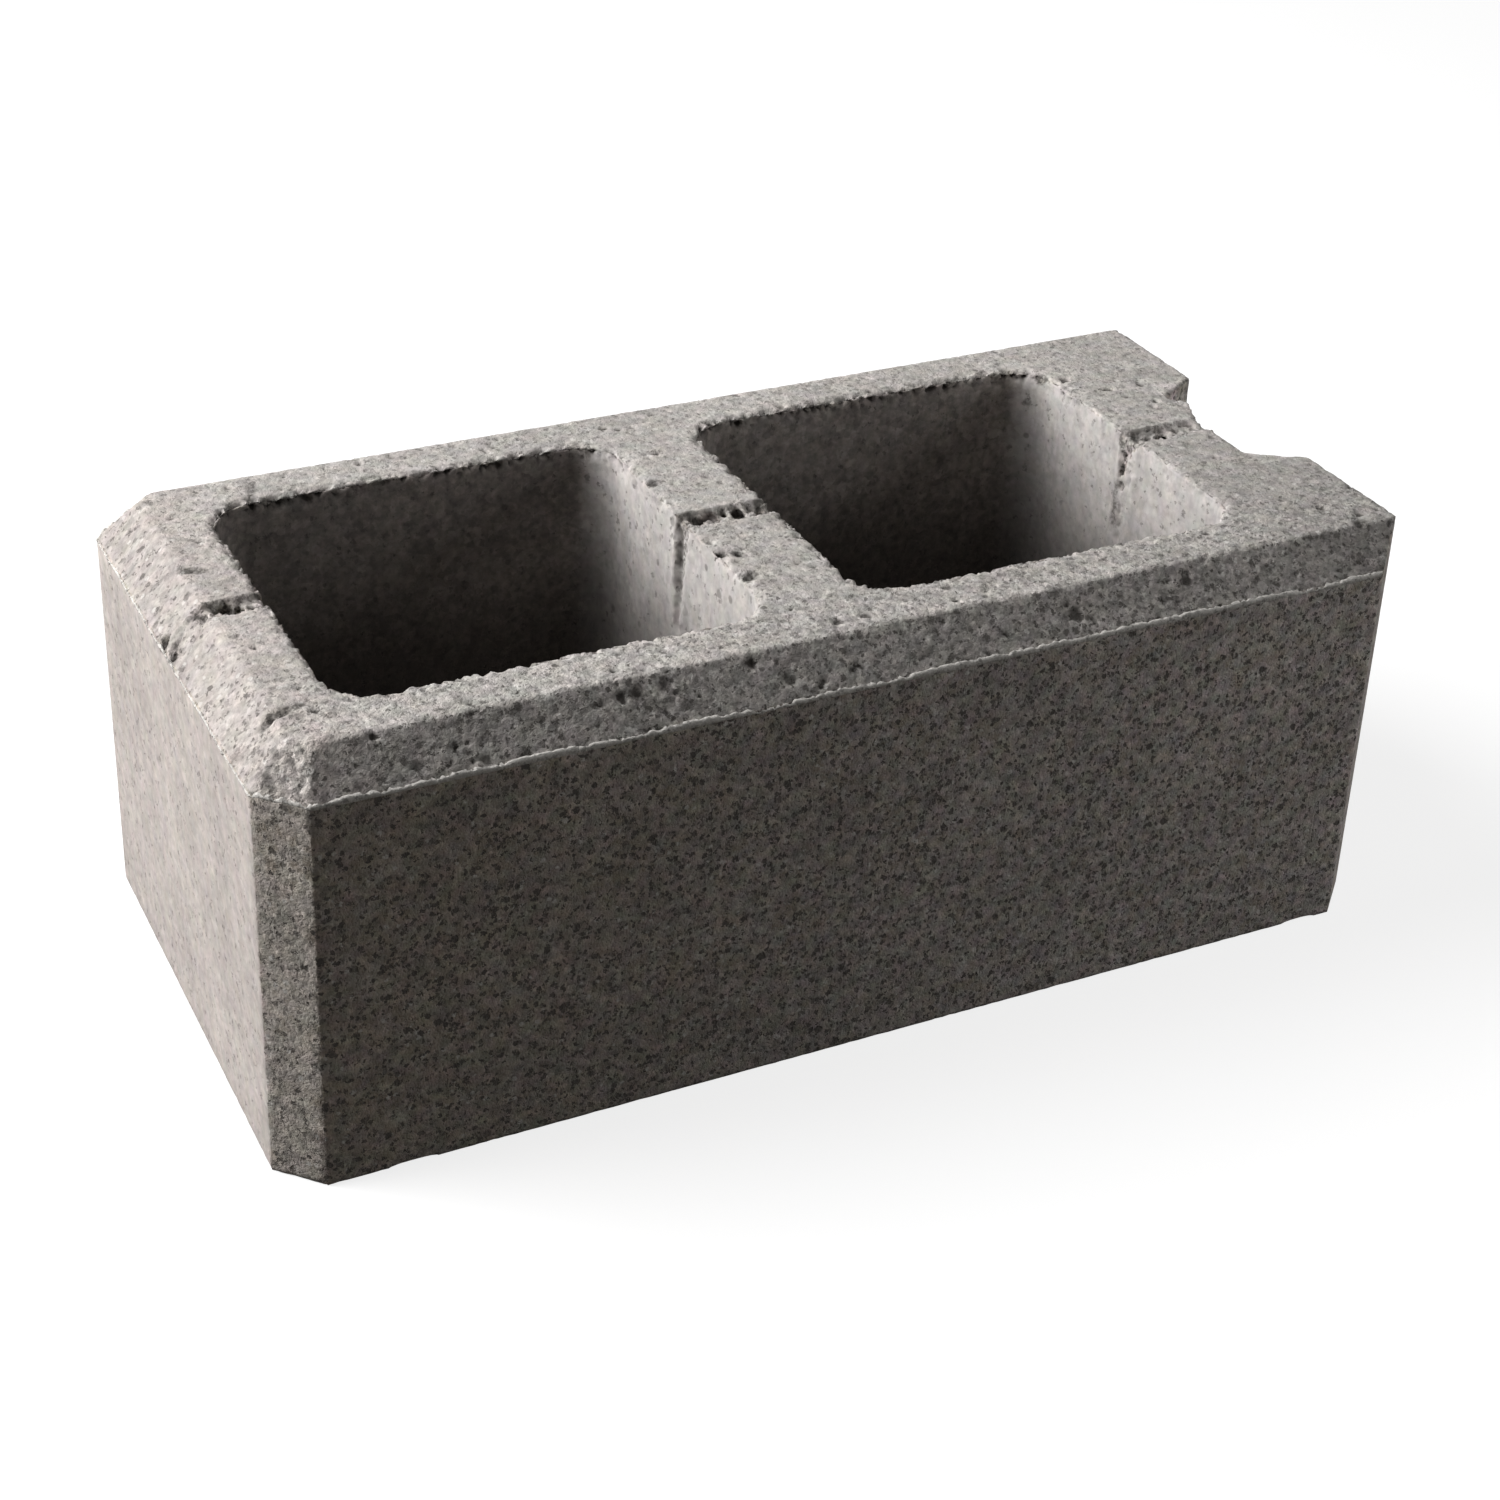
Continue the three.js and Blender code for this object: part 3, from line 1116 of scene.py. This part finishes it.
def pitted(look, cast, colour):
    """Dark pores, painted shade in the relief's own hollows and pits, and a faint painted highlight
    on its arrises.
    """
    colour = mixed(cast.opened, colour, look.pore)
    # Painted shade where the surface lies below its surroundings, and a faint painted highlight on
    # the arrises.
    relief = larger(cast.sag, -0.12) * cast.crown
    colour = toned(colour, (relief, -0.4))
    deep = ramp(cast.pit, 0.27, 0.9) * cast.crown
    deep = larger(deep, ramp(relief, 0.25, 0.8))
    return mixed(deep * shown(cast.brow, 0.9, 0.75), colour, look.pore)


def painted_core_shade(look, cast, colour):
    """Painted shade, darker towards the foot of the cores and on the core walls that don't face the
    flat end.
    """
    depth = ramp(cast.z, TOP + 2.0, 70.0) * cast.core_wall
    shade = cast.shaded * (0.64 - 0.17 * ramp(cast.x, -40.0, 60.0))
    return mixed(0.9 * larger(depth, shade), colour, look.painted_shade, "MULTIPLY")


def painted_hollow_shade(look, cast, colour):
    """Painted shade between the crumbs in the slot, in the torn scars and in the gouges."""
    gouged = cast.gouged * ramp(cast.z, 100.0, 104.0)
    rubble = 0.04 + 0.72 * ramp(noise(cast.place, 0.8, 2.0, 0.6), 0.4, 0.6)
    slot = ramp(abs(cast.y), 7.0, 5.2) * ramp(cast.z, TOP - 1.1, TOP - 4.0)
    slot = slot * cast.crown * (1.0 - cast.core_wall) * ramp(cast.x, -191.0, -188.5)
    slot = larger(slot, cast.torn)
    shade_mask = larger(slot * rubble, gouged * (0.4 + 0.55 * rubble))
    cleft = ramp(cast.y, 0.8, 3.4) * ramp(cast.x, 60.0, 40.0)
    shade_mask = larger(shade_mask, cleft * (0.85 * cast.torn))
    return mixed(shade_mask, colour, look.pore)


def bump_height(cast):
    """The fine relief that the mesh is too coarse for."""
    bumpy = shown(cast.tight, 0.05, 0.4) + 0.1 * cast.tamped - 0.15 * cast.quiet
    return cast.grain["Height"] * bumpy - 0.8 * cast.opened + 0.15 * cast.streak


def new_material(name):
    """A matt material, and its shader."""
    material = bpy.data.materials.new(name)
    material.use_nodes = True
    shader = material.node_tree.nodes["Principled BSDF"]
    shader.inputs["Specular IOR Level"].default_value = 0.25
    return material, shader


def give_surface(shader, colour, height, distance, strength=1.0):
    """Feeds a shader its colour and, through a bump of some depth, its fine relief."""
    tree = tree_of(colour)
    bumps = {"Strength": strength, "Distance": distance, "Height": height}
    bump = made(tree, "ShaderNodeBump", bumps)
    tree.links.new(colour.socket, shader.inputs["Base Color"])
    tree.links.new(bump.socket, shader.inputs["Normal"])


def concrete_material(shape, look, groups):
    """Dry-cast concrete: open and granular where tamped, tight and finely pored where moulded."""
    material, shader = new_material("dry_cast_concrete")
    tree = material.node_tree
    cast = CastSurface(tree, groups)
    colour = shaped_tones(shape, cast, pasted(look, cast))
    colour = placed_tones(look, cast, colour)
    colour = sanded(cast, clouded(cast, colour))
    colour = specked(look, cast, colour)
    colour = pitted(look, cast, colour)
    colour = painted_core_shade(look, cast, colour)
    colour = painted_hollow_shade(look, cast, colour)
    give_surface(shader, colour, bump_height(cast), 0.6 * MM, strength=0.8)
    rough = 0.93 + 0.04 * cast.grain["Tone"]
    tree.links.new(rough.socket, shader.inputs["Roughness"])
    return material


def flash_material(look, groups):
    """Pale cement that bled out of the mould's joint."""
    material, shader = new_material("cement_flash")
    fin = Surface(material.node_tree, groups)
    pore = use_group(fin.pores, Place=fin.place, Share=0.4)["Mask"]
    colour = toned(look.flash, (fin.cloud["Tone"], 0.3), (fin.grain["Tone"], 0.25))
    colour = mixed(0.6 * pore, colour, look.pore)
    give_surface(shader, colour, fin.grain["Height"], 0.2 * MM)
    shader.inputs["Roughness"].default_value = 0.9
    return material


class CONCRETE_OT_finish_surface(bpy.types.Operator):
    """Give the block and its flash their procedural concrete"""

    bl_idname = "concrete.finish_surface"
    bl_label = "Finish Surface"

    def execute(self, context):
        shape, look = context.scene.block_shape, context.scene.concrete_look
        groups = (grain_group(), pore_group(), cloud_group())
        concrete = concrete_material(shape, look, groups)
        bpy.data.objects["cast_block"].data.materials.append(concrete)
        bpy.data.objects["flash_line"].data.materials.append(flash_material(look, groups))
        return {"FINISHED"}


# ---- stage

WHITE = (1.0, 1.0, 1.0, 1.0)


def seen_directly(tree):
    """1 for rays from the camera, off a mirror or through glass, and 0 for light that bounces."""
    path = {socket.name: field(socket) for socket in add_node(tree, "ShaderNodeLightPath").outputs}
    seen = larger(path["Is Camera Ray"], path["Is Glossy Ray"])
    return larger(seen, path["Is Transmission Ray"])


def add_floor():
    """A pale floor that shows white to the camera and keeps a soft shadow."""
    floor = added(bpy.ops.mesh.primitive_plane_add, "floor", size=12.0)
    with edit_mode():
        bpy.ops.mesh.subdivide(number_cuts=3)
    material = bpy.data.materials.new("pale_floor")
    material.use_nodes = True
    tree = material.node_tree
    tree.nodes.clear()
    lit = made(tree, "ShaderNodeBsdfDiffuse", {"Color": (0.32, 0.32, 0.32, 1.0)})
    dim = made(tree, "ShaderNodeBsdfDiffuse", {"Color": (0.07, 0.063, 0.056, 1.0)})
    glow = made(tree, "ShaderNodeEmission", {"Color": WHITE, "Strength": 0.8})
    bright = made(tree, "ShaderNodeAddShader", {0: lit, 1: glow})
    both = made(tree, "ShaderNodeMixShader", {0: seen_directly(tree), 1: dim, 2: bright})
    leave = add_node(tree, "ShaderNodeOutputMaterial", {"Surface": both})
    leave.is_active_output = True
    floor.data.materials.append(material)


def add_world(stage):
    """Even light, white where the camera sees it."""
    world = bpy.data.worlds.new("studio")
    bpy.context.scene.world = world
    world.use_nodes = True
    tree = world.node_tree
    tree.nodes.clear()
    warm = {"Color": (1.0, 0.97, 0.93, 1.0), "Strength": stage.sky}
    even = made(tree, "ShaderNodeBackground", warm)
    white = made(tree, "ShaderNodeBackground", {"Color": WHITE, "Strength": 1.0})
    both = made(tree, "ShaderNodeMixShader", {0: seen_directly(tree), 1: even, 2: white})
    add_node(tree, "ShaderNodeOutputWorld", {"Surface": both})


def add_lamp(name, toward, target, distance, size, energy):
    """A round soft lamp that looks at a target from a direction."""
    aim = Vector(toward).normalized()
    place = Vector(target) + aim * distance
    lamp = added(bpy.ops.object.light_add, name, type="AREA", location=place)
    lamp.data.shape = "DISK"
    lamp.data.size = size
    lamp.data.energy = energy
    lamp.rotation_euler = aim.to_track_quat("Z", "Y").to_euler()


def add_camera(stage):
    """A camera turned round the aimed-at point, then leaned about its own axis."""
    azimuth, elevation = stage.azimuth, stage.elevation
    across = math.cos(elevation)
    back = Vector((math.sin(azimuth) * across, -math.cos(azimuth) * across, math.sin(elevation)))
    place = Vector(stage.aim) + back * stage.distance
    camera = added(bpy.ops.object.camera_add, "camera", location=place)
    turn = back.to_track_quat("Z", "Y").to_matrix().to_4x4() @ Matrix.Rotation(stage.roll, 4, "Z")
    camera.rotation_euler = turn.to_euler()
    camera.data.lens = stage.lens
    camera.data.sensor_width = 36.0
    camera.data.shift_x, camera.data.shift_y = stage.shift
    bpy.context.scene.camera = camera


class CONCRETE_OT_set_stage(bpy.types.Operator):
    """Lay the floor and place the light and the camera"""

    bl_idname = "concrete.set_stage"
    bl_label = "Set Stage"

    def execute(self, context):
        stage = context.scene.studio_stage
        add_floor()
        add_world(stage)
        add_lamp("key", (-0.55, 0.34, 0.425), (-0.05, 0.0, 0.12), 2.0, 2.1, stage.key)
        add_lamp("fill", (0.75, -0.55, 0.35), (0.2, -0.1, 0.08), 0.9, 0.5, stage.fill)
        add_camera(stage)
        context.scene.view_settings.view_transform = "Standard"
        return {"FINISHED"}


# ---- add-on

OPERATORS = (
    CONCRETE_OT_cast_block,
    CONCRETE_OT_weather_surface,
    CONCRETE_OT_raise_flash,
    CONCRETE_OT_finish_surface,
    CONCRETE_OT_set_stage,
)


class CONCRETE_PT_block(bpy.types.Panel):
    """Lists the steps and the settings"""

    bl_idname = "CONCRETE_PT_block"
    bl_label = "Concrete Block"
    bl_space_type = "VIEW_3D"
    bl_region_type = "UI"
    bl_category = "Concrete Block"

    def draw(self, context):
        for operator in OPERATORS:
            self.layout.operator(operator.bl_idname)
        for group in SETTINGS:
            settings = getattr(context.scene, group)
            column = self.layout.column()
            for name in settings.bl_rna.properties.keys():
                if name not in ("rna_type", "name"):
                    column.prop(settings, name)


SETTINGS = {"block_shape": BlockShape, "concrete_look": ConcreteLook, "studio_stage": StudioStage}
CLASSES = (*SETTINGS.values(), *OPERATORS, CONCRETE_PT_block)


def register():
    for item in CLASSES:
        bpy.utils.register_class(item)
    for name, group in SETTINGS.items():
        setattr(bpy.types.Scene, name, bpy.props.PointerProperty(type=group))


def unregister():
    for name in SETTINGS:
        delattr(bpy.types.Scene, name)
    for item in reversed(CLASSES):
        bpy.utils.unregister_class(item)


def main():
    register()
    bpy.ops.concrete.cast_block()
    bpy.ops.concrete.weather_surface()
    bpy.ops.concrete.raise_flash()
    bpy.ops.concrete.finish_surface()
    bpy.ops.concrete.set_stage()


if __name__ == "__main__":
    main()
